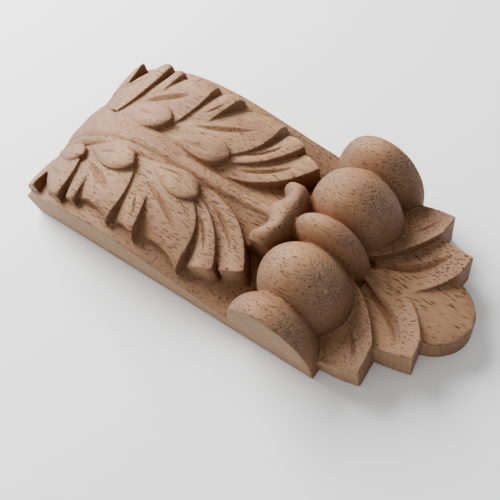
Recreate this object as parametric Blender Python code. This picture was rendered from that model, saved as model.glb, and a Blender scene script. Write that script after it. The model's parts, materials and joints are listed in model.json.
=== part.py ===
import math

import bmesh
import bpy
from mathutils import Matrix, Vector
from mathutils.bvhtree import BVHTree

# Carved wood applique: an arched board under acanthus leaves, a row of five olives
# and a palmette, all cut from one plank. It lies on its flat back at z = 0.
# Lengths in the tables are in millimetres from the straight left end of the board,
# and widths run out from the centre line, so one table serves both sides.

MM = 0.001

# The plank that the piece is cut from. Forms run past its faces by the margin, and the
# carved forms stand on a level sunk into the board.
LENGTH = 162.4
WIDTH = 70.0
PLANK_HEIGHT = 40.0
HALF_WIDTH = WIDTH / 2
MARGIN = 1.5
SUNK = 3.0

# The arched board under the leaves
BOARD_END = 129.1
CREST_AT = 42.0
CREST_HEIGHT = 23.4
LEFT_RISE = 13.5
FOOT_HEIGHT = 7.0
FOOT_RUN = 75.0
SEAT_HEIGHT = 8.6

# The height of the leaves over the board along the centre line
LEAF_LIFT = 4.0
LEAF_GAIN = 7.4
LEAF_SPAN = 95.0
LEAF_POWER = 2.0

# The leaf lobes, from the left end to the olives. The trailing edge is the crisp one that
# stands over the next lobe, and the leading edge starts low beside the lobe before it.
# A bow is how far the edge's control point lies off its chord, towards the olives. The
# valley is the drop along the leading edge, the scoop bends the lobe's outer margin in, and
# the hook lets its tip down on the board. The scoop is less on the board's far side.
LEAF_LOBES = (
    {"name": "lobe_0", "root": (2.6, 18.4), "tip": (9.5, 33.4), "bow": 0.6, "tip_height": 21.7,
     "root_drop": 1.8, "lead_root": (-3.3, 15.2), "lead_tip": (-3.3, 32.6), "lead_bow": 0.0,
     "valley": 0.6, "foot_height": 10.0, "ease": 1.0, "scoop": 0.6, "hook": 1.5,
     "corner": 0.05},
    {"name": "lobe_1", "root": (14.0, 9.6), "tip": (26.2, 34.0), "bow": 5.4, "tip_height": 26.4,
     "root_drop": 1.4, "lead_root": (-3.8, 12.1), "lead_tip": (16.4, 32.2), "lead_bow": -3.2,
     "valley": 2.0, "foot_height": 18.6, "ease": 1.8, "scoop": 1.0, "hook": 2.2,
     "corner": 0.03},
    {"name": "lobe_2", "root": (26.4, 14.6), "tip": (33.8, 32.4), "bow": 2.6, "tip_height": 26.8,
     "root_drop": 2.4, "lead_root": (18.0, 14.0), "lead_tip": (27.2, 31.2), "lead_bow": 1.0,
     "valley": 2.6, "foot_height": 23.0, "ease": 2.0, "scoop": 0.5, "hook": 2.2,
     "corner": 0.03},
    {"name": "lobe_3", "root": (40.6, 6.0), "tip": (49.0, 32.8), "bow": 7.6, "tip_height": 27.0,
     "root_drop": 2.8, "lead_root": (9.0, 5.0), "lead_tip": (31.5, 30.2), "lead_bow": -0.5,
     "valley": 3.2, "foot_height": 22.8, "ease": 2.4, "scoop": 3.0, "hook": 2.4,
     "corner": 0.015},
    {"name": "lobe_4", "root": (53.4, 13.4), "tip": (60.4, 32.5), "bow": 2.6, "tip_height": 26.0,
     "root_drop": 2.4, "lead_root": (43.0, 13.0), "lead_tip": (49.2, 30.6), "lead_bow": 2.4,
     "valley": 3.0, "foot_height": 22.6, "ease": 2.0, "scoop": 2.2, "hook": 3.4,
     "corner": 0.01},
    {"name": "lobe_5", "root": (67.0, 8.6), "tip": (77.3, 32.8), "bow": 10.0, "tip_height": 21.0,
     "root_drop": 1.8, "lead_root": (34.0, 4.0), "lead_tip": (58.5, 30.2), "lead_bow": -1.5,
     "valley": 3.6, "foot_height": 20.4, "ease": 2.6, "scoop": 3.3, "hook": 3.3,
     "corner": 0.01},
    {"name": "lobe_6", "root": (66.5, 6.4), "tip": (89.4, 27.0), "bow": 7.4, "tip_height": 21.4,
     "root_drop": 3.0, "lead_root": (65.0, 7.0), "lead_tip": (78.8, 29.0), "lead_bow": 6.2,
     "valley": 3.2, "foot_height": 18.0, "ease": 2.0, "scoop": -0.6, "hook": 0.0,
     "corner": 0.02},
    {"name": "lobe_7", "root": (68.5, 3.2), "tip": (97.8, 22.0), "bow": 10.2, "tip_height": 20.2,
     "root_drop": 4.2, "lead_root": (67.0, 5.6), "lead_tip": (89.6, 25.0), "lead_bow": 4.2,
     "valley": 3.4, "foot_height": 19.2, "ease": 1.6, "scoop": -0.6, "hook": 0.0,
     "corner": 0.01},
)
TRAIL_SETTLE = 0.7
LOBE_SWELL = 0.9
LOBE_FAR_SCOOP = 0.3
LOBE_SCOOP_END = 6
LOBE_SCOOP_START = 4
LOBE_HOOK_FROM = 0.84
LOBE_HOOK_SIDE = 8
LOBE_TURN = 3
LOBE_CORNER_TURN = 9

# The small rounded lobes beside the midrib
EYE_LOBES = (
    {"name": "eye_0", "start": (-2.0, 13.4), "end": (20.4, 14.0), "half_width": 4.0,
     "sink": 1.6, "rise": 0.8, "sides": (-1,)},
    {"name": "eye_1", "start": (15.5, 8.6), "end": (44.6, 10.6), "half_width": 5.3,
     "sink": 3.2, "rise": 0.9, "sides": (1, -1)},
    {"name": "eye_2", "start": (46.0, 5.6), "end": (70.6, 9.0), "half_width": 4.8,
     "sink": 3.2, "rise": 0.4, "sides": (1, -1)},
)
EYE_ROUND = 0.9
EYE_FULLEST = 0.7
EYE_BLUNT = 0.04
EYE_OUTLINE = 0.56
EYE_CLOSE = 1.6

# The midrib and the bowl that it runs into
MIDRIB_END = 97.0
MIDRIB_FLARE = 10.5
MIDRIB_HALF_WIDTH = 2.8
MIDRIB_FLARE_RUN = 16.0
MIDRIB_SETTLE = 2.4
MIDRIB_SETTLE_FROM = 36.0
MIDRIB_SETTLE_RUN = 20.0
MIDRIB_LEVEL = 21.4
MIDRIB_LEVEL_FROM = 78.0
MIDRIB_ROUND = 1.7
MIDRIB_THIN = 0.35
BODY_MARGIN = 2.6
BODY_END = 78.0
BODY_NARROWS_FROM = 60.0
CHANNEL_DEPTH = 1.0
CHANNEL_DEEPENS = 1.8
CHANNEL_ROUND = 1.4
BOWL_START = 69.0
BOWL_END = 98.5
BOWL_NARROW = 5.6
BOWL_WIDE = 12.2
BOWL_EDGE = 21.6
BOWL_FLOOR = 16.0
BOWL_LOW_AT = 89.0
BOWL_HOLLOW = 1.7
BOWL_SPREAD = 1.6

# The leaf's end, rolled over beside the olives: steep towards the midrib, long and round
# towards the olives, with a wavy front edge that comes forward in a lip at both ends
CURL_START = 94.0
CURL_WAVE = 1.5
CURL_WAVES = 0.9
CURL_LIP = 1.2
CURL_END = 105.4
CURL_END_BEND = 4.4
CURL_HALF_SPAN = 12.3
CURL_CREST = 0.54
CURL_TOP = 27.7
CURL_FOOT = 20.5
CURL_LIP_FOOT = 18.5
CURL_BACK = 18.6
CURL_FALL = 5.2
CURL_SLOPE = 2.6
CURL_BLUNT = 0.12

# The olives, on the centre line and out to the sides, where the plank's edge cuts the last
OLIVES = (
    {"name": "olive_middle", "at": 114.6, "out": 0.0, "core": 11.3,
     "half_length": 14.1, "half_width": 6.4, "rise": 20.9},
    {"name": "olive_inner", "at": 114.9, "out": 15.1, "core": 9.0,
     "half_length": 16.2, "half_width": 13.1, "rise": 24.2},
    {"name": "olive_outer", "at": 113.8, "out": 32.4, "core": 8.0,
     "half_length": 15.6, "half_width": 11.2, "rise": 22.6},
)

# The palmette
PALM_ROOT = 124.0
PALM_PETALS = (
    {"name": "petal_outer", "root_out": (124.0, 31.0), "tip_out": (142.3, 29.3), "bow_out": -1.8,
     "root_in": (124.0, 3.4), "tip_in": (142.0, 21.0), "bow_in": 3.6,
     "heights": (7.0, 14.0, 13.4, 17.0)},
    {"name": "petal_inner", "root_out": (124.0, 20.0), "tip_out": (153.2, 18.3), "bow_out": -3.2,
     "root_in": (130.0, -4.0), "tip_in": (152.3, 12.0), "bow_in": 7.0,
     "heights": (10.6, 15.3, 9.6, 15.0)},
)
PETAL_DIP = 0.9
CENTRE_PETAL_AT = 148.0
CENTRE_PETAL_HALF_WIDTH = 11.9
CENTRE_PETAL_HEIGHT = 11.8
CENTRE_PETAL_FALL = 0.8
CENTRE_PETAL_CROWN = 1.2
CENTRE_PETAL_BLUNT = 0.004
CENTRE_PETAL_STEM = 0.15

# Veins: the line that each one runs along, its bow, and the width and depth of the gouge
VEINS = (
    {"start": (6.0, 21.4), "end": (19.6, 25.2), "bow": -0.8, "width": 1.8, "depth": 1.0},
    {"start": (24.3, 15.8), "end": (43.6, 22.8), "bow": 0.9, "width": 3.2, "depth": 1.8},
    {"start": (27.0, 10.9), "end": (36.6, 9.7), "bow": 0.7, "width": 1.7, "depth": 1.1},
    {"start": (52.5, 13.2), "end": (72.2, 22.6), "bow": 1.8, "width": 2.6, "depth": 1.5},
    {"start": (51.8, 7.0), "end": (64.5, 6.2), "bow": 1.0, "width": 1.7, "depth": 1.1},
    {"start": (76.6, 8.0), "end": (90.0, 17.2), "bow": 1.5, "width": 2.2, "depth": 1.5},
    {"start": (130.5, 4.6), "end": (147.6, 16.4), "bow": 4.4, "width": 3.6, "depth": 2.0},
    {"start": (132.6, 19.0), "end": (138.8, 27.0), "bow": 1.6, "width": 1.9, "depth": 1.2},
)
VEIN_OVER = 0.5
VEIN_END_SHARE = 0.3

# Facets
LOBE_STEPS = 8
LOBE_ROWS = 4
BOARD_STEPS = 26
RIB_STEPS = 22
RIB_ROWS = 6
CHANNEL_ROWS = 6
PETAL_STEPS = 7
PETAL_ROWS = 4
OLIVE_SEGMENTS = 28
OLIVE_RINGS = 14
EYE_STEPS = 10
EYE_ROWS = 6
CURL_STEPS = 8
CURL_ROWS = 12
BOWL_ROWS = 10
VEIN_STEPS = 6
SHARP_ANGLE = 28.0

WOOD_COLOUR = (0.52, 0.36, 0.25, 1.0)
WOOD_ROUGHNESS = 0.72


def clamp(value, low=0.0, high=1.0):
    return max(low, min(high, value))


def edgeHeight(x):
    """Height of the board's arched edge at a distance from the left end."""
    if x < CREST_AT:
        return CREST_HEIGHT - LEFT_RISE * ((CREST_AT - x) / CREST_AT) ** 2
    turn = clamp((x - CREST_AT) / FOOT_RUN) * math.pi / 2
    return max(FOOT_HEIGHT + (CREST_HEIGHT - FOOT_HEIGHT) * math.cos(turn) ** 2, SEAT_HEIGHT)


def crownHeight(x):
    """Height of the leaves along the centre line."""
    return edgeHeight(x) + LEAF_LIFT + LEAF_GAIN * clamp(x / LEAF_SPAN) ** LEAF_POWER


def bowedEdge(start, end, bow, s):
    """Point on a quadratic curve whose control point lies off the chord's middle."""
    a = Vector(start)
    c = Vector(end)
    chord = (c - a).normalized()
    b = (a + c) / 2 + Vector((chord.y, -chord.x)) * bow
    return a * (1 - s) ** 2 + b * 2 * s * (1 - s) + c * s ** 2


def place(x, y, z):
    """From lengths off the left end to the object's frame in metres."""
    return Vector(((x - LENGTH / 2) * MM, y * MM, z * MM))


def makeObject(name, bm, collection, material, smooth=False):
    bmesh.ops.remove_doubles(bm, verts=bm.verts, dist=0.00001)
    bmesh.ops.recalc_face_normals(bm, faces=bm.faces)
    mesh = bpy.data.meshes.new(name)
    bm.to_mesh(mesh)
    bm.free()
    if smooth:
        mesh.shade_smooth()
    mesh.materials.append(material)
    obj = bpy.data.objects.new(name, mesh)
    collection.objects.link(obj)
    return obj


def reliefSolid(name, surface, steps, rows, base, collection, material):
    """Solid under a carved surface, with upright walls down to the base height."""
    bm = bmesh.new()
    bmesh.ops.create_grid(bm, x_segments=steps, y_segments=rows, size=0.5)
    for vert in bm.verts:
        vert.co = place(*surface(vert.co.x + 0.5, vert.co.y + 0.5))
    under = list(bm.verts)
    bmesh.ops.extrude_face_region(bm, geom=list(bm.faces), use_keep_orig=True)
    for vert in under:
        vert.co.z = base * MM
    return makeObject(name, bm, collection, material)


def oliveSolid(olive, side, word, collection, material):
    """Long rounded bead that lies along the piece."""
    bm = bmesh.new()
    bmesh.ops.create_uvsphere(bm, u_segments=OLIVE_SEGMENTS, v_segments=OLIVE_RINGS, radius=1.0)
    bmesh.ops.rotate(bm, verts=bm.verts, matrix=Matrix.Rotation(math.pi / 2, 3, "Y"))
    for vert in bm.verts:
        vert.co = place(olive["at"] + vert.co.x * olive["half_length"],
                        side * olive["out"] + vert.co.y * olive["half_width"],
                        olive["core"] + vert.co.z * olive["rise"])
    return makeObject(olive["name"] + "_" + word, bm, collection, material)


def boardSurface(u, v):
    x = -MARGIN + (BOARD_END + MARGIN) * u
    return x, (2 * v - 1) * (HALF_WIDTH + MARGIN), edgeHeight(x)


def lobeSurface(lobe, side):
    """Surface that follows the leaf's crown, low along its leading edge, crisp at the other."""
    def surface(u, v):
        u = u * (1 - lobe["corner"] * v ** LOBE_CORNER_TURN)
        trail = bowedEdge(lobe["root"], lobe["tip"], lobe["bow"], u)
        lead = bowedEdge(lobe["lead_root"], lobe["lead_tip"], lobe["lead_bow"], u)
        point = lead.lerp(trail, v)
        low = (1 - v) ** lobe["ease"]
        crest = TRAIL_SETTLE * (1 - u) + lobe["root_drop"] * (1 - u) ** 2
        body = crownHeight(point.x) - lobe["valley"] * low - crest * (1 - low)
        end = lobe["tip_height"] + (lobe["foot_height"] - lobe["tip_height"]) * low
        fall = u ** LOBE_TURN
        swell = LOBE_SWELL * math.sin(math.pi * v) * (lobe["ease"] - 1) * fall
        scoop = lobe["scoop"] * (LOBE_FAR_SCOOP if side > 0 else 1.0) * fall
        scoop *= (1 - v ** LOBE_SCOOP_END) * (1 - (1 - v) ** LOBE_SCOOP_START)
        hook = lobe["hook"] * v ** LOBE_HOOK_SIDE * clamp((u - LOBE_HOOK_FROM) / (1 - LOBE_HOOK_FROM)) ** 2
        return point.x, side * (point.y - scoop), body * (1 - fall) + end * fall + swell - hook
    return surface


def eyeSurface(eye, side):
    """Pad that grows out of the leaf beside the midrib and ends in a blunt round wall."""
    def surface(u, v):
        start = Vector(eye["start"])
        end = Vector(eye["end"])
        along = 1 - (1 - u) ** EYE_CLOSE
        turn = along ** (math.log(0.5) / math.log(EYE_FULLEST)) * math.pi
        narrow = max(math.sin(turn), EYE_BLUNT) ** EYE_OUTLINE
        across = (2 * v - 1) * eye["half_width"] * narrow
        point = start.lerp(end, along)
        lean = (end - start).normalized()
        x = point.x - lean.y * across
        y = point.y + lean.x * across
        lifted = (eye["sink"] + eye["rise"]) * math.sin(along * math.pi / 2)
        dome = EYE_ROUND * (abs(2 * v - 1) ** 4 + along ** 12)
        return x, side * y, crownHeight(x) - eye["sink"] + lifted - dome
    return surface


def midribHeight(x):
    settled = crownHeight(x) - MIDRIB_SETTLE * clamp((x - MIDRIB_SETTLE_FROM) / MIDRIB_SETTLE_RUN)
    if x < MIDRIB_LEVEL_FROM:
        return settled
    return max(settled, MIDRIB_LEVEL)


def midribHalfWidth(x):
    return MIDRIB_HALF_WIDTH + (MIDRIB_FLARE - MIDRIB_HALF_WIDTH) * math.exp(-x / MIDRIB_FLARE_RUN)


def midribSurface(u, v):
    x = -MARGIN + (MIDRIB_END + MARGIN) * u
    across = 2 * v - 1
    slim = 1 - MIDRIB_THIN * clamp((x - BOWL_START) / (MIDRIB_END - BOWL_START))
    return x, across * midribHalfWidth(x) * slim, midribHeight(x) - MIDRIB_ROUND * across ** 4


def bodySurface(u, v):
    """Bottom of the channels on both sides of the midrib, running out into the bowl."""
    x = -MARGIN + (BODY_END + MARGIN) * u
    late = clamp((x - BODY_NARROWS_FROM) / (BODY_END - BODY_NARROWS_FROM))
    half = midribHalfWidth(x) + BODY_MARGIN * (1 - late)
    across = 2 * v - 1
    depth = CHANNEL_DEPTH + CHANNEL_DEEPENS * late ** 2 + CHANNEL_ROUND * across ** 8
    return x, across * half, midribHeight(x) - depth


def bowlSurface(u, v):
    """Hollow on both sides of the midrib, with flanks that run up to its ridge."""
    x = BOWL_START + (BOWL_END - BOWL_START) * u
    across = 2 * v - 1
    sink = clamp((x - BOWL_START) / (BOWL_LOW_AT - BOWL_START))
    floor = BOWL_EDGE + (BOWL_FLOOR - BOWL_EDGE) * sink
    flank = (1 - abs(across)) ** BOWL_HOLLOW
    half = BOWL_NARROW + (BOWL_WIDE - BOWL_NARROW) * sink ** BOWL_SPREAD
    return x, across * half, floor + (midribHeight(x) - floor) * flank


def curlSurface(u, v):
    across = 2 * v - 1
    edge = abs(across)
    wave = CURL_WAVE * math.cos(2 * math.pi * edge / CURL_WAVES)
    start = CURL_START - wave - CURL_LIP * edge ** 4
    end = CURL_END - CURL_END_BEND * edge ** 2
    top = CURL_TOP - CURL_FALL * edge ** 5
    if u < CURL_CREST:
        foot = CURL_FOOT + (CURL_LIP_FOOT - CURL_FOOT) * edge ** 2
        rise = math.sqrt(max(1 - (1 - u / CURL_CREST) ** 2, 0.0))
    else:
        foot = CURL_BACK
        rise = max(1 - ((u - CURL_CREST) / (1 - CURL_CREST)) ** CURL_SLOPE, 0.0)
    half = CURL_HALF_SPAN * (1 - CURL_BLUNT * (2 * u - 1) ** 4)
    return start + (end - start) * u, across * half, foot + (top - foot) * rise


def petalSurface(petal, side):
    """Petal of the palmette, from its outer edge to the inner edge over the next petal."""
    def surface(u, v):
        outer = bowedEdge(petal["root_out"], petal["tip_out"], petal["bow_out"], u)
        inner = bowedEdge(petal["root_in"], petal["tip_in"], petal["bow_in"], u)
        point = outer.lerp(inner, v)
        root_out, tip_out, root_in, tip_in = petal["heights"]
        outer_z = root_out + (tip_out - root_out) * u
        inner_z = root_in + (tip_in - root_in) * u
        dip = PETAL_DIP * math.sin(math.pi * v) * math.sin(math.pi * u)
        return point.x, side * point.y, outer_z + (inner_z - outer_z) * v - dip
    return surface


def centrePetalHeight(along, across):
    return CENTRE_PETAL_HEIGHT - CENTRE_PETAL_FALL * along - CENTRE_PETAL_CROWN * across ** 2 * along


def centrePetalSurface(u, v):
    reach = LENGTH - CENTRE_PETAL_AT
    x = PALM_ROOT + (LENGTH - PALM_ROOT) * math.sin(u * math.pi / 2)
    along = clamp((x - CENTRE_PETAL_AT) / reach, 0.0)
    spread = clamp((x - PALM_ROOT) / (CENTRE_PETAL_AT - PALM_ROOT), CENTRE_PETAL_STEM)
    half = CENTRE_PETAL_HALF_WIDTH * spread * math.sqrt(max(1 - along ** 2, CENTRE_PETAL_BLUNT))
    across = 2 * v - 1
    return x, across * half, centrePetalHeight(along, across)


def woodMaterial():
    material = bpy.data.materials.new("pale_wood")
    material.use_nodes = True
    shader = material.node_tree.nodes["Principled BSDF"]
    shader.inputs["Base Color"].default_value = WOOD_COLOUR
    shader.inputs["Roughness"].default_value = WOOD_ROUGHNESS
    shader.inputs["Metallic"].default_value = 0.0
    material.diffuse_color = WOOD_COLOUR
    return material


def veinSurface(vein, side, tree):
    """Underside of a gouge cut that follows the carving and runs out at both ends."""
    def surface(u, v):
        point = bowedEdge(vein["start"], vein["end"], vein["bow"], u)
        ahead = bowedEdge(vein["start"], vein["end"], vein["bow"], u + 0.01)
        along = (ahead - point).normalized()
        swell = VEIN_END_SHARE + (1 - VEIN_END_SHARE) * math.sin(math.pi * u)
        across = (2 * v - 1) * vein["width"] / 2 * swell
        above = place(point.x, side * point.y, PLANK_HEIGHT)
        hit = tree.ray_cast(above, Vector((0.0, 0.0, -1.0)))[0]
        top = hit.z / MM
        depth = vein["depth"] * math.sin(math.pi * u) if v == 0.5 else -VEIN_OVER
        return point.x - along.y * across, side * (point.y + along.x * across), top - depth
    return surface


def settled(obj):
    """Mesh of an object once its modifiers have run."""
    graph = bpy.context.evaluated_depsgraph_get()
    return bpy.data.meshes.new_from_object(obj.evaluated_get(graph))


def unite(target, operation, operand):
    step = target.modifiers.new(operation.lower(), "BOOLEAN")
    step.operation = operation
    step.solver = "EXACT"
    if isinstance(operand, bpy.types.Collection):
        step.operand_type = "COLLECTION"
        step.collection = operand
    else:
        step.object = operand
    mesh = settled(target)
    target.modifiers.clear()
    target.data = mesh


def main():
    for old in list(bpy.data.objects):
        bpy.data.objects.remove(old, do_unlink=True)
    part = bpy.data.collections.new("carved_wood_applique")
    carving = bpy.data.collections.new("carved_forms")
    gouges = bpy.data.collections.new("gouge_cuts")
    cutters = bpy.data.collections.new("cutters")
    for collection in (part, carving, gouges, cutters):
        bpy.context.scene.collection.children.link(collection)
    wood = woodMaterial()

    board = reliefSolid("carved_applique", boardSurface, BOARD_STEPS, 1, -MARGIN, part, wood)

    for side, word in ((1, "left"), (-1, "right")):
        for lobe in LEAF_LOBES:
            reliefSolid(lobe["name"] + "_" + word, lobeSurface(lobe, side), LOBE_STEPS, LOBE_ROWS,
                        SUNK, carving, wood)
        for eye in EYE_LOBES:
            if side in eye["sides"]:
                reliefSolid(eye["name"] + "_" + word, eyeSurface(eye, side), EYE_STEPS, EYE_ROWS,
                            SUNK, carving, wood)
        for petal in PALM_PETALS:
            reliefSolid(petal["name"] + "_" + word, petalSurface(petal, side), PETAL_STEPS, PETAL_ROWS,
                        -MARGIN, carving, wood)
        for olive in OLIVES:
            if olive["out"] == 0.0 and side < 0:
                continue
            oliveSolid(olive, side, word, carving, wood)

    reliefSolid("channels", bodySurface, RIB_STEPS, CHANNEL_ROWS, SUNK, carving, wood)
    reliefSolid("bowl", bowlSurface, CURL_STEPS, BOWL_ROWS, SUNK, carving, wood)
    reliefSolid("midrib", midribSurface, RIB_STEPS, RIB_ROWS, SUNK, carving, wood)
    reliefSolid("curl", curlSurface, CURL_STEPS, CURL_ROWS, SUNK, carving, wood)
    reliefSolid("centre_petal", centrePetalSurface, PETAL_STEPS * 2, PETAL_ROWS, -MARGIN, carving, wood)

    bm = bmesh.new()
    bmesh.ops.create_cube(bm, size=1.0)
    for vert in bm.verts:
        vert.co = Vector((vert.co.x * (LENGTH + MARGIN) * MM + MARGIN / 2 * MM,
                          vert.co.y * WIDTH * MM,
                          (vert.co.z + 0.5) * PLANK_HEIGHT * MM))
    plank = makeObject("plank", bm, cutters, wood)

    unite(board, "UNION", carving)
    unite(board, "INTERSECT", plank)

    tree = BVHTree.FromPolygons([vert.co for vert in board.data.vertices],
                                [face.vertices for face in board.data.polygons])
    for index, vein in enumerate(VEINS):
        for side, word in ((1, "left"), (-1, "right")):
            reliefSolid("vein_" + str(index) + "_" + word, veinSurface(vein, side, tree),
                        VEIN_STEPS, 2, PLANK_HEIGHT, gouges, wood)
    unite(board, "DIFFERENCE", gouges)

    for obj in list(carving.objects) + list(gouges.objects) + [plank]:
        obj.hide_render = True
        obj.display_type = "WIRE"

    board.data.shade_smooth()
    board.data.set_sharp_from_angle(angle=math.radians(SHARP_ANGLE))


main()
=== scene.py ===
import json
import math
import bmesh
import bpy
import numpy as np
from mathutils import Matrix, Vector

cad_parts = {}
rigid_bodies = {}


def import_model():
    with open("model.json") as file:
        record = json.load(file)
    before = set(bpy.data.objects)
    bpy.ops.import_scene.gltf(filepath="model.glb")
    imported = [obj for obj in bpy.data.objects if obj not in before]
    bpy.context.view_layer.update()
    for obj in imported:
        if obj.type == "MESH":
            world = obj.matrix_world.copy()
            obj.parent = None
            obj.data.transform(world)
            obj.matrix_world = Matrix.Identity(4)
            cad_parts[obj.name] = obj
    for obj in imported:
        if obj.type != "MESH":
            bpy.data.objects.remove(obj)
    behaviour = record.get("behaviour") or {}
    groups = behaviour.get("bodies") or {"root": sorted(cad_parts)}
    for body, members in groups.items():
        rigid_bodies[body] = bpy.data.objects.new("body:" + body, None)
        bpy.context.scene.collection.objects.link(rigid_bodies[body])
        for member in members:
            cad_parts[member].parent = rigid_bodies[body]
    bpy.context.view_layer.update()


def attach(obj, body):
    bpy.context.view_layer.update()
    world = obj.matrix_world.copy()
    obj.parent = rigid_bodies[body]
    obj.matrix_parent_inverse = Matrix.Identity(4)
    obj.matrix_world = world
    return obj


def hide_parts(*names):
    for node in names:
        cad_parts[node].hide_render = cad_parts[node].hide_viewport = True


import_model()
print("frame loaded")

# Carved wood applique: an arched board under acanthus leaves, five olives and a palmette,
# all in one piece of pale open-pored wood. Lengths below are in millimetres from the
# straight left end of the board; widths run out from the centre line on both sides.

mm = 0.001

board = {
    "length": 162.4,
    "width": 70.0,
    "end": 129.1,
    "crestAt": 42.0,
    "crestHeight": 23.4,
    "leftRise": 13.5,
    "footHeight": 7.0,
    "footRun": 75.0,
    "seatHeight": 8.6,
    "over": 1.5,          # forms run past the saw cuts by this much
    "sunk": 3.0,          # level inside the board where the carved forms end
    "steps": 120,
    "rows": 4,
}


def clamp(value, low=0.0, high=1.0):
    return max(low, min(high, value))


def edgeHeight(x):
    if x < board["crestAt"]:
        back = (board["crestAt"] - x) / board["crestAt"]
        return board["crestHeight"] - board["leftRise"] * back ** 2
    turn = clamp((x - board["crestAt"]) / board["footRun"]) * math.pi / 2
    rise = board["crestHeight"] - board["footHeight"]
    return max(board["footHeight"] + rise * math.cos(turn) ** 2, board["seatHeight"])


def crownHeight(x):
    return edgeHeight(x) + leaf["lift"] + leaf["gain"] * clamp(x / leaf["span"]) ** leaf["power"]


def bowedEdge(start, end, bow, s):
    a = Vector(start)
    c = Vector(end)
    chord = (c - a).normalized()
    b = (a + c) / 2 + Vector((chord.y, -chord.x)) * bow
    return a * (1 - s) ** 2 + b * 2 * s * (1 - s) + c * s ** 2


def place(x, y, z):
    return Vector(((x - board["length"] / 2) * mm, y * mm, z * mm))


def trimToPlank(bm):
    # saw cuts: left end, two long sides and the back
    half = board["width"] / 2
    cuts = (
        (place(0, 0, 0), (-1, 0, 0)),
        (place(0, half, 0), (0, 1, 0)),
        (place(0, -half, 0), (0, -1, 0)),
        (place(0, 0, 0), (0, 0, -1)),
    )
    for point, outward in cuts:
        parts = list(bm.verts) + list(bm.edges) + list(bm.faces)
        cut = bmesh.ops.bisect_plane(bm, geom=parts, dist=1e-7, plane_co=point, plane_no=outward,
                                     clear_outer=True, clear_inner=False)
        rim = [e for e in cut["geom_cut"] if isinstance(e, bmesh.types.BMEdge)]
        if rim:
            bmesh.ops.holes_fill(bm, edges=rim, sides=0)


def reliefForm(target, surface, steps, rows, base):
    # a grid laid over the surface, with upright walls down to the base
    bm = bmesh.new()
    bmesh.ops.create_grid(bm, x_segments=steps, y_segments=rows, size=0.5)
    for vert in bm.verts:
        vert.co = place(*surface(vert.co.x + 0.5, vert.co.y + 0.5))
    top = list(bm.verts)
    bmesh.ops.extrude_face_region(bm, geom=list(bm.faces), use_keep_orig=True)
    for vert in top:
        vert.co.z = base * mm
    addForm(target, bm)


def addForm(target, bm):
    bmesh.ops.remove_doubles(bm, verts=bm.verts, dist=1e-6)
    bmesh.ops.recalc_face_normals(bm, faces=bm.faces)
    trimToPlank(bm)
    bmesh.ops.triangulate(bm, faces=bm.faces)
    mesh = bpy.data.meshes.new("form")
    bm.to_mesh(mesh)
    bm.free()
    target.from_mesh(mesh)
    bpy.data.meshes.remove(mesh)


# Leaves

leaf = {
    "lift": 4.0,
    "gain": 7.4,
    "span": 95.0,
    "power": 2.0,
    "steps": 34,
    "rows": 18,
    "settle": 0.7,
    "swell": 0.9,
    "cornerSide": 9,      # a lobe's rounded corner, its scooped middle and its hooked tip
    "scoopEnd": 6,
    "scoopStart": 4,
    "farScoop": 0.3,
    "hookFrom": 0.84,
    "hookSide": 8,
}

lobes = (
    {"root": (2.6, 18.4), "tip": (9.5, 33.4), "bow": 0.6, "tipHeight": 21.7, "rootDrop": 1.8,
     "leadRoot": (-3.3, 15.2), "leadTip": (-3.3, 32.6), "leadBow": 0.0, "valley": 0.6,
     "footHeight": 10.0, "ease": 1.0, "scoop": 0.6, "hook": 1.5, "corner": 0.05},
    {"root": (14.0, 9.6), "tip": (26.2, 34.0), "bow": 5.4, "tipHeight": 26.4, "rootDrop": 1.4,
     "leadRoot": (-3.8, 12.1), "leadTip": (16.4, 32.2), "leadBow": -3.2, "valley": 2.0,
     "footHeight": 18.6, "ease": 1.8, "scoop": 1.0, "hook": 2.2, "corner": 0.03},
    {"root": (26.4, 14.6), "tip": (33.8, 32.4), "bow": 2.6, "tipHeight": 26.8, "rootDrop": 2.4,
     "leadRoot": (18.0, 14.0), "leadTip": (27.2, 31.2), "leadBow": 1.0, "valley": 2.6,
     "footHeight": 23.0, "ease": 2.0, "scoop": 0.5, "hook": 2.2, "corner": 0.03},
    {"root": (40.6, 6.0), "tip": (49.0, 32.8), "bow": 7.6, "tipHeight": 27.0, "rootDrop": 2.8,
     "leadRoot": (9.0, 5.0), "leadTip": (31.5, 30.2), "leadBow": -0.5, "valley": 3.2,
     "footHeight": 22.8, "ease": 2.4, "scoop": 3.0, "hook": 2.4, "corner": 0.015},
    {"root": (53.4, 13.4), "tip": (60.4, 32.5), "bow": 2.6, "tipHeight": 26.0, "rootDrop": 2.4,
     "leadRoot": (43.0, 13.0), "leadTip": (49.2, 30.6), "leadBow": 2.4, "valley": 3.0,
     "footHeight": 22.6, "ease": 2.0, "scoop": 2.2, "hook": 3.4, "corner": 0.01},
    {"root": (67.0, 8.6), "tip": (77.3, 32.8), "bow": 10.0, "tipHeight": 21.0, "rootDrop": 1.8,
     "leadRoot": (34.0, 4.0), "leadTip": (58.5, 30.2), "leadBow": -1.5, "valley": 3.6,
     "footHeight": 20.4, "ease": 2.6, "scoop": 3.3, "hook": 3.3, "corner": 0.01},
    {"root": (66.5, 6.4), "tip": (89.4, 27.0), "bow": 7.4, "tipHeight": 21.4, "rootDrop": 3.0,
     "leadRoot": (65.0, 7.0), "leadTip": (78.8, 29.0), "leadBow": 6.2, "valley": 3.2,
     "footHeight": 18.0, "ease": 2.0, "scoop": -0.6, "hook": 0.0, "corner": 0.02},
    {"root": (68.5, 3.2), "tip": (97.8, 22.0), "bow": 10.2, "tipHeight": 20.2, "rootDrop": 4.2,
     "leadRoot": (67.0, 5.6), "leadTip": (89.6, 25.0), "leadBow": 4.2, "valley": 3.4,
     "footHeight": 19.2, "ease": 1.6, "scoop": -0.6, "hook": 0.0, "corner": 0.01},
)


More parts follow.
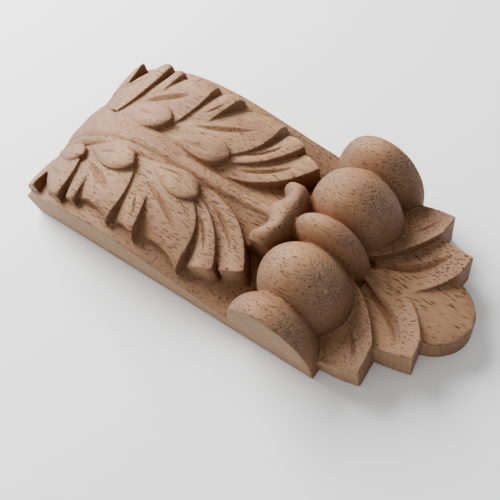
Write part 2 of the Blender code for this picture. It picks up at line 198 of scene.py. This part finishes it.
def lobeSurface(lobe, side):
    def surface(u, v):
        u = u * (1 - lobe["corner"] * v ** leaf["cornerSide"])
        trail = bowedEdge(lobe["root"], lobe["tip"], lobe["bow"], u)
        lead = bowedEdge(lobe["leadRoot"], lobe["leadTip"], lobe["leadBow"], u)
        point = lead.lerp(trail, v)
        low = (1 - v) ** lobe["ease"]
        crest = leaf["settle"] * (1 - u) + lobe["rootDrop"] * (1 - u) ** 2
        body = crownHeight(point.x) - lobe["valley"] * low - crest * (1 - low)
        end = lobe["tipHeight"] + (lobe["footHeight"] - lobe["tipHeight"]) * low
        fall = u ** 3
        swell = leaf["swell"] * math.sin(math.pi * v) * (lobe["ease"] - 1) * fall
        scoop = lobe["scoop"] * (leaf["farScoop"] if side > 0 else 1.0) * fall
        scoop *= (1 - v ** leaf["scoopEnd"]) * (1 - (1 - v) ** leaf["scoopStart"])
        late = clamp((u - leaf["hookFrom"]) / (1 - leaf["hookFrom"]))
        hook = lobe["hook"] * v ** leaf["hookSide"] * late ** 2
        return point.x, side * (point.y - scoop), body * (1 - fall) + end * fall + swell - hook
    return surface


# Pads beside the midrib

pads = (
    {"start": (-2.0, 13.4), "end": (20.4, 14.0), "halfWidth": 4.0, "sink": 1.6, "rise": 0.8,
     "sides": (-1,)},
    {"start": (15.5, 8.6), "end": (44.6, 10.6), "halfWidth": 5.3, "sink": 3.2, "rise": 0.9,
     "sides": (1, -1)},
    {"start": (46.0, 5.6), "end": (70.6, 9.0), "halfWidth": 4.8, "sink": 3.2, "rise": 0.4,
     "sides": (1, -1)},
)
padShape = {"round": 0.9, "fullest": 0.7, "blunt": 0.04, "outline": 0.56, "crowd": 1.6,
            "steps": 44, "rows": 22}


def padSurface(pad, side):
    def surface(u, v):
        start = Vector(pad["start"])
        end = Vector(pad["end"])
        along = 1 - (1 - u) ** padShape["crowd"]
        turn = along ** (math.log(0.5) / math.log(padShape["fullest"])) * math.pi
        narrow = max(math.sin(turn), padShape["blunt"]) ** padShape["outline"]
        across = (2 * v - 1) * pad["halfWidth"] * narrow
        point = start.lerp(end, along)
        lean = (end - start).normalized()
        x = point.x - lean.y * across
        y = point.y + lean.x * across
        lifted = (pad["sink"] + pad["rise"]) * math.sin(along * math.pi / 2)
        dome = padShape["round"] * (abs(2 * v - 1) ** 4 + along ** 12)
        return x, side * y, crownHeight(x) - pad["sink"] + lifted - dome
    return surface


# Midrib, its channels and the bowl

midrib = {
    "end": 97.0,
    "flare": 10.5,
    "halfWidth": 2.8,
    "flareRun": 16.0,
    "settle": 2.4,
    "settleFrom": 36.0,
    "settleRun": 20.0,
    "level": 21.4,
    "levelFrom": 78.0,
    "round": 1.7,
    "thin": 0.35,
    "channelMargin": 2.6,
    "channelEnd": 78.0,
    "channelNarrows": 60.0,
    "channelDepth": 1.0,
    "channelDeepens": 1.8,
    "channelRound": 1.4,
    "channelSteps": 100,
    "channelRows": 20,
    "steps": 110,
    "rows": 24,
}
bowl = {"start": 69.0, "end": 98.5, "narrow": 5.6, "wide": 12.2, "flare": 1.6, "edge": 21.6,
        "floor": 16.0, "lowAt": 89.0, "hollow": 1.7, "steps": 60, "rows": 48}


def midribHeight(x):
    run = clamp((x - midrib["settleFrom"]) / midrib["settleRun"])
    settled = crownHeight(x) - midrib["settle"] * run
    return settled if x < midrib["levelFrom"] else max(settled, midrib["level"])


def midribHalfWidth(x):
    return midrib["halfWidth"] + (midrib["flare"] - midrib["halfWidth"]) * math.exp(-x / midrib["flareRun"])


def midribSurface(u, v):
    x = -board["over"] + (midrib["end"] + board["over"]) * u
    across = 2 * v - 1
    slim = 1 - midrib["thin"] * clamp((x - bowl["start"]) / (midrib["end"] - bowl["start"]))
    return x, across * midribHalfWidth(x) * slim, midribHeight(x) - midrib["round"] * across ** 4


def channelSurface(u, v):
    x = -board["over"] + (midrib["channelEnd"] + board["over"]) * u
    late = clamp((x - midrib["channelNarrows"]) / (midrib["channelEnd"] - midrib["channelNarrows"]))
    half = midribHalfWidth(x) + midrib["channelMargin"] * (1 - late)
    across = 2 * v - 1
    depth = midrib["channelDepth"] + midrib["channelDeepens"] * late ** 2
    return x, across * half, midribHeight(x) - depth - midrib["channelRound"] * across ** 8


def bowlSurface(u, v):
    x = bowl["start"] + (bowl["end"] - bowl["start"]) * u
    across = 2 * v - 1
    sink = clamp((x - bowl["start"]) / (bowl["lowAt"] - bowl["start"]))
    floor = bowl["edge"] + (bowl["floor"] - bowl["edge"]) * sink
    flank = (1 - abs(across)) ** bowl["hollow"]
    half = bowl["narrow"] + (bowl["wide"] - bowl["narrow"]) * sink ** bowl["flare"]
    return x, across * half, floor + (midribHeight(x) - floor) * flank


# The rolled leaf end beside the olives

curl = {
    "start": 94.0,
    "waves": 0.9,
    "wave": 1.5,
    "lip": 1.2,
    "end": 105.4,
    "endBend": 4.4,
    "halfSpan": 12.3,
    "crest": 0.54,
    "top": 27.7,
    "foot": 20.5,
    "lipFoot": 18.5,
    "back": 18.6,
    "fall": 5.2,
    "slope": 2.6,
    "blunt": 0.12,
    "steps": 40,
    "rows": 48,
}


def curlSurface(u, v):
    # a rolled leaf end: steep towards the midrib, long and round towards the olives
    across = 2 * v - 1
    edge = abs(across)
    wave = curl["wave"] * math.cos(2 * math.pi * edge / curl["waves"])
    start = curl["start"] - wave - curl["lip"] * edge ** 4
    end = curl["end"] - curl["endBend"] * edge ** 2
    top = curl["top"] - curl["fall"] * edge ** 5
    if u < curl["crest"]:
        foot = curl["foot"] + (curl["lipFoot"] - curl["foot"]) * edge ** 2
        rise = math.sqrt(max(1 - (1 - u / curl["crest"]) ** 2, 0.0))
    else:
        foot = curl["back"]
        off = (u - curl["crest"]) / (1 - curl["crest"])
        rise = max(1 - off ** curl["slope"], 0.0)
    half = curl["halfSpan"] * (1 - curl["blunt"] * (2 * u - 1) ** 4)
    return start + (end - start) * u, across * half, foot + (top - foot) * rise


# Olives

olives = (
    {"at": 114.6, "out": 0.0, "core": 11.3, "halfLength": 14.1, "halfWidth": 6.4, "rise": 20.9},
    {"at": 114.9, "out": 15.1, "core": 9.0, "halfLength": 16.2, "halfWidth": 13.1, "rise": 24.2},
    {"at": 113.8, "out": 32.4, "core": 8.0, "halfLength": 15.6, "halfWidth": 11.2, "rise": 22.6},
)


oliveMesh = {"segments": 72, "rings": 48}


def oliveForm(target, olive, side):
    bm = bmesh.new()
    bmesh.ops.create_uvsphere(bm, u_segments=oliveMesh["segments"], v_segments=oliveMesh["rings"], radius=1.0)
    bmesh.ops.rotate(bm, verts=bm.verts, matrix=Matrix.Rotation(math.pi / 2, 3, "Y"))
    bmesh.ops.scale(bm, verts=bm.verts,
                    vec=(olive["halfLength"] * mm, olive["halfWidth"] * mm, olive["rise"] * mm))
    bmesh.ops.translate(bm, verts=bm.verts, vec=place(olive["at"], side * olive["out"], olive["core"]))
    addForm(target, bm)


# Palmette

petals = (
    {"rootOut": (124.0, 31.0), "tipOut": (142.3, 29.3), "bowOut": -1.8, "rootIn": (124.0, 3.4),
     "tipIn": (142.0, 21.0), "bowIn": 3.6, "heights": (7.0, 14.0, 13.4, 17.0)},
    {"rootOut": (124.0, 20.0), "tipOut": (153.2, 18.3), "bowOut": -3.2, "rootIn": (130.0, -4.0),
     "tipIn": (152.3, 12.0), "bowIn": 7.0, "heights": (10.6, 15.3, 9.6, 15.0)},
)
palmette = {"dip": 0.9, "root": 124.0, "centreAt": 148.0, "centreHalfWidth": 11.9,
            "centreHeight": 11.8, "centreFall": 0.8, "centreCrown": 1.2, "blunt": 0.004, "stem": 0.15,
            "centreSteps": 60, "centreRows": 30, "steps": 30, "rows": 20}


def petalSurface(petal, side):
    def surface(u, v):
        outer = bowedEdge(petal["rootOut"], petal["tipOut"], petal["bowOut"], u)
        inner = bowedEdge(petal["rootIn"], petal["tipIn"], petal["bowIn"], u)
        point = outer.lerp(inner, v)
        rootOut, tipOut, rootIn, tipIn = petal["heights"]
        outerZ = rootOut + (tipOut - rootOut) * u
        innerZ = rootIn + (tipIn - rootIn) * u
        dip = palmette["dip"] * math.sin(math.pi * v) * math.sin(math.pi * u)
        return point.x, side * point.y, outerZ + (innerZ - outerZ) * v - dip
    return surface


def centrePetalSurface(u, v):
    reach = board["length"] - palmette["centreAt"]
    x = palmette["root"] + (board["length"] - palmette["root"]) * math.sin(u * math.pi / 2)
    along = clamp((x - palmette["centreAt"]) / reach, 0.0)
    spread = clamp((x - palmette["root"]) / (palmette["centreAt"] - palmette["root"]), palmette["stem"])
    half = palmette["centreHalfWidth"] * spread * math.sqrt(max(1 - along ** 2, palmette["blunt"]))
    across = 2 * v - 1
    fall = palmette["centreFall"] * along + palmette["centreCrown"] * across ** 2 * along
    return x, across * half, palmette["centreHeight"] - fall


def boardSurface(u, v):
    x = -board["over"] + (board["end"] + board["over"]) * u
    return x, (2 * v - 1) * (board["width"] / 2 + board["over"]), edgeHeight(x)


# Gouged veins: line, bow, width and depth

veins = (
    {"start": (6.0, 21.4), "end": (19.6, 25.2), "bow": -0.8, "width": 1.6, "depth": 1.0},
    {"start": (24.3, 15.8), "end": (43.6, 22.8), "bow": 0.9, "width": 3.2, "depth": 1.9},
    {"start": (27.0, 10.9), "end": (36.6, 9.7), "bow": 0.7, "width": 1.4, "depth": 0.9},
    {"start": (52.5, 13.2), "end": (72.2, 22.6), "bow": 1.8, "width": 2.4, "depth": 1.4},
    {"start": (51.8, 7.0), "end": (64.5, 6.2), "bow": 1.0, "width": 1.3, "depth": 0.8},
    {"start": (74.0, 13.4), "end": (83.4, 23.0), "bow": 1.6, "width": 2.0, "depth": 1.3},
    {"start": (75.6, 7.6), "end": (90.4, 17.8), "bow": 1.6, "width": 2.2, "depth": 1.5},
    {"start": (52.6, 19.2), "end": (57.4, 26.0), "bow": 0.5, "width": 1.3, "depth": 0.8},
    {"start": (130.5, 4.6), "end": (147.6, 16.4), "bow": 4.4, "width": 3.6, "depth": 2.1},
    {"start": (132.6, 19.0), "end": (138.8, 27.0), "bow": 1.6, "width": 1.7, "depth": 1.1},
)


gouge = {"stops": 14, "taper": 0.7, "slimEnd": 0.45}


def gougeDepths(x, y):
    # depth of the deepest vein at every point, all in millimetres
    depths = np.zeros_like(x)
    stops = gouge["stops"]
    for vein in veins:
        line = [bowedEdge(vein["start"], vein["end"], vein["bow"], i / stops) for i in range(stops + 1)]
        for i in range(stops):
            a, b = line[i], line[i + 1]
            step = b - a
            along = np.clip(((x - a.x) * step.x + (y - a.y) * step.y) / step.length_squared, 0, 1)
            off = np.hypot(x - a.x - along * step.x, y - a.y - along * step.y)
            run = (i + along) / stops
            taper = np.sin(np.pi * np.clip(run, 0, 1)) ** gouge["taper"]
            half = vein["width"] / 2 * (gouge["slimEnd"] + (1 - gouge["slimEnd"]) * taper)
            depths = np.maximum(depths, vein["depth"] * taper * np.clip(1 - off / half, 0, 1))
    return depths


# All forms in one rough body

rough = bmesh.new()
reliefForm(rough, boardSurface, board["steps"], board["rows"], -board["over"])
for side in (1, -1):
    for lobe in lobes:
        reliefForm(rough, lobeSurface(lobe, side), leaf["steps"], leaf["rows"], board["sunk"])
    for pad in pads:
        if side in pad["sides"]:
            reliefForm(rough, padSurface(pad, side), padShape["steps"], padShape["rows"], board["sunk"])
    for petal in petals:
        reliefForm(rough, petalSurface(petal, side), palmette["steps"], palmette["rows"], -board["over"])
    for olive in olives:
        if olive["out"] > 0 or side > 0:
            oliveForm(rough, olive, side)
reliefForm(rough, channelSurface, midrib["channelSteps"], midrib["channelRows"], board["sunk"])
reliefForm(rough, midribSurface, midrib["steps"], midrib["rows"], board["sunk"])
reliefForm(rough, bowlSurface, bowl["steps"], bowl["rows"], board["sunk"])
reliefForm(rough, curlSurface, curl["steps"], curl["rows"], board["sunk"])
reliefForm(rough, centrePetalSurface, palmette["centreSteps"], palmette["centreRows"], -board["over"])
print("rough forms:", len(rough.faces), "faces")

carve = {
    "grain": 0.0003,      # size of the carver's smallest facet
    "ease": 0.5,
    "easePasses": 2,
    "rimFrom": 125.0,     # the palmette's rims are rubbed rounder
    "rimAbove": 3.0,
    "rimPasses": 12,
    "tipsTo": 36.0,       # and so are the leaf tips at the high end
    "tipsOut": 20.0,
    "tipsAbove": 1.2,
    "waver": 0.16,        # how far the hand-worked surface dips
    "waverStep": 4.5,
    "waverCells": (60, 30),
    "waverCorner": (-20, -50),
    "waverSeed": 12,
    "levelGain": 2.5,     # near-upright walls are cut less than level faces
    "faces": 190000,
}

mesh = bpy.data.meshes.new("carvedWood")
rough.to_mesh(mesh)
rough.free()
carving = bpy.data.objects.new("carvedWood", mesh)
bpy.context.scene.collection.objects.link(carving)


def runModifiers(piece):
    graph = bpy.context.evaluated_depsgraph_get()
    settled = bpy.data.meshes.new_from_object(piece.evaluated_get(graph))
    old = piece.data
    piece.modifiers.clear()
    piece.data = settled
    bpy.data.meshes.remove(old)


weld = carving.modifiers.new("weld", "REMESH")
weld.mode = "VOXEL"
weld.voxel_size = carve["grain"]
runModifiers(carving)
print("one body:", len(carving.data.polygons), "faces")

points = np.empty(len(carving.data.vertices) * 3)
carving.data.vertices.foreach_get("co", points)
points = points.reshape(-1, 3)
acrossMm = points[:, 0] / mm + board["length"] / 2
onRim = (acrossMm > carve["rimFrom"]) & (points[:, 2] / mm > carve["rimAbove"])
ledge = np.array([edgeHeight(x) for x in acrossMm])
onTips = (acrossMm < carve["tipsTo"]) & (np.abs(points[:, 1]) / mm > carve["tipsOut"])
onRim |= onTips & (points[:, 2] / mm > ledge + carve["tipsAbove"])
rim = carving.vertex_groups.new(name="rim")
rim.add(np.nonzero(onRim)[0].tolist(), 1.0, "REPLACE")
soften = carving.modifiers.new("soften", "SMOOTH")
soften.factor = carve["ease"]
soften.iterations = carve["easePasses"]
rubRim = carving.modifiers.new("rubRim", "SMOOTH")
rubRim.factor = carve["ease"]
rubRim.iterations = carve["rimPasses"]
rubRim.vertex_group = rim.name
runModifiers(carving)
print("edges eased")


def handWaver(x, y):
    # slow random dips over the plank, from a coarse grid read smoothly
    grid = np.random.default_rng(carve["waverSeed"]).random(carve["waverCells"])
    column = (x - carve["waverCorner"][0]) / carve["waverStep"]
    row = (y - carve["waverCorner"][1]) / carve["waverStep"]
    i = column.astype(int)
    j = row.astype(int)
    s = column - i
    t = row - j
    s = s * s * (3 - 2 * s)
    t = t * t * (3 - 2 * t)
    near = grid[i, j] * (1 - s) + grid[i + 1, j] * s
    far = grid[i, j + 1] * (1 - s) + grid[i + 1, j + 1] * s
    return near * (1 - t) + far * t


carving.data.vertices.foreach_get("co", points.ravel())
normals = np.empty(len(carving.data.vertices) * 3)
carving.data.vertices.foreach_get("normal", normals)
normals = normals.reshape(-1, 3)
acrossMm = points[:, 0] / mm + board["length"] / 2
outMm = points[:, 1] / mm
facing = np.clip(normals[:, 2] * carve["levelGain"], 0, 1)
cut = gougeDepths(acrossMm, np.abs(outMm)) + carve["waver"] * handWaver(acrossMm, outMm)
points[:, 2] -= cut * facing * mm
carving.data.vertices.foreach_set("co", points.ravel())
carving.data.update()
print("veins cut")

thin = carving.modifiers.new("thin", "DECIMATE")
thin.ratio = min(1.0, carve["faces"] / (2 * len(carving.data.polygons)))
runModifiers(carving)
carving.vertex_groups.clear()
carving.data.shade_smooth()
print("finished body:", len(carving.data.polygons), "faces")


# Wood

# scales are repeats in a metre: along, across and through the plank
wood = {
    "straw": (0.350, 0.201, 0.100, 1.0),
    "pink": (0.272, 0.140, 0.077, 1.0),
    "heart": (0.222, 0.118, 0.061, 1.0),      # darker band inside the plank
    "late": (0.190, 0.085, 0.037, 1.0),       # darker side of a growth layer
    "endGrain": (0.185, 0.128, 0.094, 1.0),
    # steep wall colour: partly darker end-grain tone, partly painted shade
    "wall": (0.190, 0.088, 0.040, 1.0),
    "sawnSide": (0.330, 0.215, 0.110, 1.0),
    # painted shade for creases and pockets, with a little dust
    "pocketShadeAndDust": (0.200, 0.066, 0.016, 1.0),
    "pore": (0.052, 0.018, 0.007, 1.0),
    # pale edge colour: partly rubbed wood, partly a painted highlight on the arrises
    "rubbedAndHighlit": (0.42, 0.27, 0.17, 1.0),
    "wander": 0.0018,
    "wanderScale": (22, 60, 60),
    "bandScale": (9, 110, 110),
    "layer": 0.00085,                         # thickness of a growth layer
    "layerTilt": 0.32,
    "heartTop": (0.028, 0.018),
    "heartFoot": (0.0, 0.008),
    "streakScale": (130, 2600, 2600),
    "longPore": (0.0090, 0.00080, 0.21),      # length and width of its cell, and share of the cell
    "shortPore": (0.0050, 0.00050, 0.30),
    "porousTop": (0.028, 0.022),              # the most and widest pores, at leaf height
    "porousFoot": (0.010, 0.016),
    "patchScale": (30, 70, 70),
    "hatchScale": (1500, 1500, 60),           # cutter marks
    "fibreScale": (300, 1500, 1500),
    "pocketShade": 0.008,                         # how near a wall must be to paint shade into a pocket
    "gloss": 0.22,
    "rough": 0.64,
    "bump": 0.85,
    "bumpHeight": 0.0003,
}

woodMaterial = bpy.data.materials.new("paleOpenPoredWood")
woodMaterial.use_nodes = True
nodes = woodMaterial.node_tree.nodes
links = woodMaterial.node_tree.links
coords = nodes.new("ShaderNodeTexCoord")


def maths(operation, a, b=None):
    node = nodes.new("ShaderNodeMath")
    node.operation = operation
    for index, item in enumerate((a, b)):
        if isinstance(item, (int, float)):
            node.inputs[index].default_value = item
        elif item is not None:
            links.new(item, node.inputs[index])
    return node.outputs["Value"]


def times(a, b):
    return maths("MULTIPLY", a, b)


def larger(a, b):
    return maths("MAXIMUM", a, b)


def scaled(source, scale, shift=0.0):
    node = nodes.new("ShaderNodeMapping")
    node.inputs["Scale"].default_value = scale
    node.inputs["Location"].default_value = (shift, shift * 0.7, shift * 1.3)
    links.new(source, node.inputs["Vector"])
    return node.outputs["Vector"]


def noiseOf(vector, detail, roughness=0.5, output="Fac"):
    node = nodes.new("ShaderNodeTexNoise")
    node.inputs["Scale"].default_value = 1.0
    node.inputs["Detail"].default_value = detail
    node.inputs["Roughness"].default_value = roughness
    links.new(vector, node.inputs["Vector"])
    return node.outputs[output]


def ramp(value, low, high, start=0.0, end=1.0):
    node = nodes.new("ShaderNodeMapRange")
    node.inputs["From Min"].default_value = low
    node.inputs["From Max"].default_value = high
    node.inputs["To Min"].default_value = start
    node.inputs["To Max"].default_value = end
    links.new(value, node.inputs["Value"])
    return node.outputs["Result"]


def mixed(factor, a, b):
    node = nodes.new("ShaderNodeMix")
    node.data_type = "RGBA"
    links.new(factor, node.inputs["Factor"])
    for name, item in (("A", a), ("B", b)):
        socket = next(s for s in node.inputs if s.name == name and s.type == "RGBA")
        if isinstance(item, tuple):
            socket.default_value = item
        else:
            links.new(item, socket)
    return next(s for s in node.outputs if s.type == "RGBA")


def wanderingGrain():
    # the grain runs along the plank and wanders a little
    drift = nodes.new("ShaderNodeVectorMath")
    drift.operation = "MULTIPLY_ADD"
    drift.inputs[1].default_value = (0.0, wood["wander"], wood["wander"])
    clouds = noiseOf(scaled(coords.outputs["Object"], wood["wanderScale"]), 1.0, output="Color")
    links.new(clouds, drift.inputs[0])
    links.new(coords.outputs["Object"], drift.inputs[2])
    return drift.outputs["Vector"]


def faceTurns():
    # how much a face is end grain, how steep it is, and how much it is a sawn side
    facing = nodes.new("ShaderNodeSeparateXYZ")
    links.new(coords.outputs["Normal"], facing.inputs["Vector"])
    endGrain = ramp(maths("ABSOLUTE", facing.outputs["X"]), 0.22, 0.85)
    steep = ramp(maths("ABSOLUTE", facing.outputs["Z"]), 0.75, 0.25)
    sawn = ramp(maths("ABSOLUTE", facing.outputs["Y"]), 0.8, 0.97)
    return endGrain, steep, sawn


def layerHeight(grain):
    # the growth layers lie tilted in the plank
    spot = nodes.new("ShaderNodeSeparateXYZ")
    links.new(grain, spot.inputs["Vector"])
    return maths("ADD", spot.outputs["Z"], times(spot.outputs["Y"], wood["layerTilt"]))


def growthLayers(height):
    wave = maths("SINE", times(height, 2 * math.pi / wood["layer"]))
    return ramp(wave, -0.2, 1.0)


def baseColour(grain, height, inside, layers, streaks, endGrain):
    # slow bands of colour, then the darker band, growth layers and fine fibre streaks
    bands = noiseOf(scaled(grain, wood["bandScale"], 4.0), 3.0, 0.55)
    colour = mixed(ramp(bands, 0.4, 0.62), wood["straw"], wood["pink"])
    heart = times(inside, ramp(height, *wood["heartFoot"]))
    colour = mixed(times(heart, 0.7), colour, wood["heart"])
    colour = mixed(times(layers, ramp(endGrain, 0.0, 1.0, 0.10, 0.42)), colour, wood["late"])
    return mixed(ramp(streaks, 0.44, 0.66, 0.0, 0.85), colour, wood["late"])


def turnedColour(colour, endGrain, wall, sawn):
    # faces across the grain are greyer and darker; steep end-grain walls get a dark brown that is partly
    # their end-grain tone and partly painted shade
    colour = mixed(times(endGrain, 0.62), colour, wood["endGrain"])
    # painted shade on steep walls, over their darker end-grain tone
    colour = mixed(times(wall, 0.75), colour, wood["wall"])
    return mixed(times(sawn, 0.5), colour, wood["sawnSide"])


def pores(grain, cell, shift, share, wider):
    # short tubes along the grain, so dashes on top and dots on the turned faces
    length, width, size = cell
    voronoi = nodes.new("ShaderNodeTexVoronoi")
    voronoi.inputs["Scale"].default_value = 1.0
    links.new(scaled(grain, (1 / length, 1 / width, 1 / width), shift), voronoi.inputs["Vector"])
    pick = nodes.new("ShaderNodeSeparateColor")
    links.new(voronoi.outputs["Color"], pick.inputs["Color"])
    chosen = maths("LESS_THAN", pick.outputs["Red"], share)
    reach = maths("ADD", ramp(pick.outputs["Green"], 0, 1, size * 0.6, size), wider)
    depth = maths("SUBTRACT", reach, voronoi.outputs["Distance"])
    return times(chosen, ramp(depth, 0.0, 0.09))


def openPores(grain, height, inside, endGrain):
    # most and widest at leaf height and on end grain, fewer elsewhere
    patches = noiseOf(scaled(coords.outputs["Object"], wood["patchScale"], 9.0), 2.0)
    porous = times(ramp(height, *wood["porousTop"]), ramp(height, *wood["porousFoot"]))
    crowded = larger(larger(endGrain, porous), times(inside, 0.72))
    share = larger(ramp(patches, 0.4, 0.58, 0.36, 0.9), crowded)
    wider = larger(times(endGrain, 0.13), times(porous, 0.05))
    longPores = pores(grain, wood["longPore"], 3.0, share, wider)
    shortPores = pores(grain, wood["shortPore"], 11.0, share, wider)
    return larger(longPores, shortPores)


def wearAndPaintedShade(colour):
    # edges rubbed pale, partly a painted highlight; creases and pockets darkened with painted shade and a
    # little dust
    geometry = nodes.new("ShaderNodeNewGeometry")
    # convex edges made paler: partly rubbing, partly a painted highlight on the arrises
    colour = mixed(ramp(geometry.outputs["Pointiness"], 0.53, 0.62, 0.0, 0.4), colour, wood["rubbedAndHighlit"])
    # painted shade in concave creases
    colour = mixed(ramp(geometry.outputs["Pointiness"], 0.475, 0.40, 0.0, 0.7), colour, wood["pocketShadeAndDust"])
    # painted shade in pockets near walls, from ambient occlusion
    pocketShade = nodes.new("ShaderNodeAmbientOcclusion")
    pocketShade.samples = 8
    pocketShade.inputs["Distance"].default_value = wood["pocketShade"]
    return mixed(ramp(pocketShade.outputs["AO"], 0.1, 0.6, 0.85, 0.0), colour, wood["pocketShadeAndDust"])


def surfaceRelief(layers, streaks, hatch, allPores, endGrain, steep):
    ridges = times(layers, times(endGrain, 0.5))
    relief = maths("ADD", ridges, times(streaks, 0.4))
    relief = maths("ADD", relief, times(hatch, times(steep, 0.8)))
    bump = nodes.new("ShaderNodeBump")
    bump.inputs["Strength"].default_value = wood["bump"]
    bump.inputs["Distance"].default_value = wood["bumpHeight"]
    links.new(maths("SUBTRACT", relief, allPores), bump.inputs["Height"])
    return bump.outputs["Normal"]


def wireWood():
    shader = nodes["Principled BSDF"]
    shader.inputs["Specular IOR Level"].default_value = wood["gloss"]
    grain = wanderingGrain()
    endGrain, steep, sawn = faceTurns()
    # steep end-grain walls, which get their end-grain tone and painted shade
    wall = times(steep, endGrain)
    height = layerHeight(grain)
    inside = ramp(height, *wood["heartTop"])
    layers = growthLayers(height)
    streaks = noiseOf(scaled(grain, wood["streakScale"]), 4.0, 0.65)
    allPores = openPores(grain, height, inside, endGrain)
    hatch = noiseOf(scaled(coords.outputs["Object"], wood["hatchScale"], 2.0), 2.0, 0.6)

    colour = baseColour(grain, height, inside, layers, streaks, endGrain)
    colour = turnedColour(colour, endGrain, wall, sawn)
    poreShow = times(allPores, ramp(larger(wall, sawn), 0.0, 1.0, 0.8, 0.3))
    colour = mixed(poreShow, colour, wood["pore"])
    hatchShow = times(ramp(hatch, 0.45, 0.7), times(steep, 0.35))
    colour = mixed(hatchShow, colour, wood["late"])
    links.new(wearAndPaintedShade(colour), shader.inputs["Base Color"])

    fibre = noiseOf(scaled(grain, wood["fibreScale"], 6.0), 3.0)
    roughness = ramp(fibre, 0.3, 0.7, wood["rough"] - 0.08, wood["rough"] + 0.12)
    links.new(maths("ADD", roughness, times(allPores, 0.2)), shader.inputs["Roughness"])
    normal = surfaceRelief(layers, streaks, hatch, allPores, endGrain, steep)
    links.new(normal, shader.inputs["Normal"])


wireWood()
carving.data.materials.append(woodMaterial)
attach(carving, "root")
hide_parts("carved_applique")
print("wood ready")


# Studio

studio = {
    "cameraAt": (0.093883, -0.070656, 0.183315),
    "cameraRight": (0.79714, 0.57168, -0.19431),
    "cameraDown": (0.43346, -0.76584, -0.47497),
    "cameraAhead": (-0.42034, 0.29439, -0.85828),
    "lens": 43.839,
    "keyAt": (-0.46, 0.15, 0.38),
    "keySize": 0.5,
    "keyPower": 13.2,
    "fillAt": (0.1, -0.5, 0.5),
    "fillSize": 0.6,
    "fillPower": 0.3,
    "sky": 0.6,
    "floorHalf": 3.0,
    "floorGap": 0.0002,   # the paper lies this far under the flat back
    "paper": (0.93, 0.93, 0.93, 1.0),
    "paperRough": 0.9,
}

cameraData = bpy.data.cameras.new("camera")
cameraData.lens = studio["lens"]
cameraData.sensor_width = 36
cameraData.clip_start = 0.01
camera = bpy.data.objects.new("camera", cameraData)
right = Vector(studio["cameraRight"])
down = Vector(studio["cameraDown"])
ahead = Vector(studio["cameraAhead"])
turn = Matrix((right, -down, -ahead)).transposed()
camera.rotation_euler = turn.to_euler()
camera.location = studio["cameraAt"]
bpy.context.scene.collection.objects.link(camera)
bpy.context.scene.camera = camera


def softLight(name, at, size, power):
    data = bpy.data.lights.new(name, "AREA")
    data.shape = "DISK"
    data.size = size
    data.energy = power
    light = bpy.data.objects.new(name, data)
    light.location = at
    light.rotation_euler = (-Vector(at)).to_track_quat("-Z", "Y").to_euler()
    bpy.context.scene.collection.objects.link(light)


softLight("key", studio["keyAt"], studio["keySize"], studio["keyPower"])
softLight("fill", studio["fillAt"], studio["fillSize"], studio["fillPower"])

world = bpy.data.worlds.new("studio")
world.use_nodes = True
sky = world.node_tree.nodes["Background"]
sky.inputs["Color"].default_value = (1, 1, 1, 1)
sky.inputs["Strength"].default_value = studio["sky"]
bpy.context.scene.world = world

floorMesh = bmesh.new()
bmesh.ops.create_grid(floorMesh, x_segments=1, y_segments=1, size=studio["floorHalf"])
bmesh.ops.translate(floorMesh, verts=floorMesh.verts, vec=(0, 0, -studio["floorGap"]))
mesh = bpy.data.meshes.new("floor")
floorMesh.to_mesh(mesh)
floorMesh.free()
floor = bpy.data.objects.new("floor", mesh)
bpy.context.scene.collection.objects.link(floor)
paper = bpy.data.materials.new("whitePaper")
paper.use_nodes = True
paperShader = paper.node_tree.nodes["Principled BSDF"]
paperShader.inputs["Base Color"].default_value = studio["paper"]
paperShader.inputs["Roughness"].default_value = studio["paperRough"]
mesh.materials.append(paper)
print("studio ready")
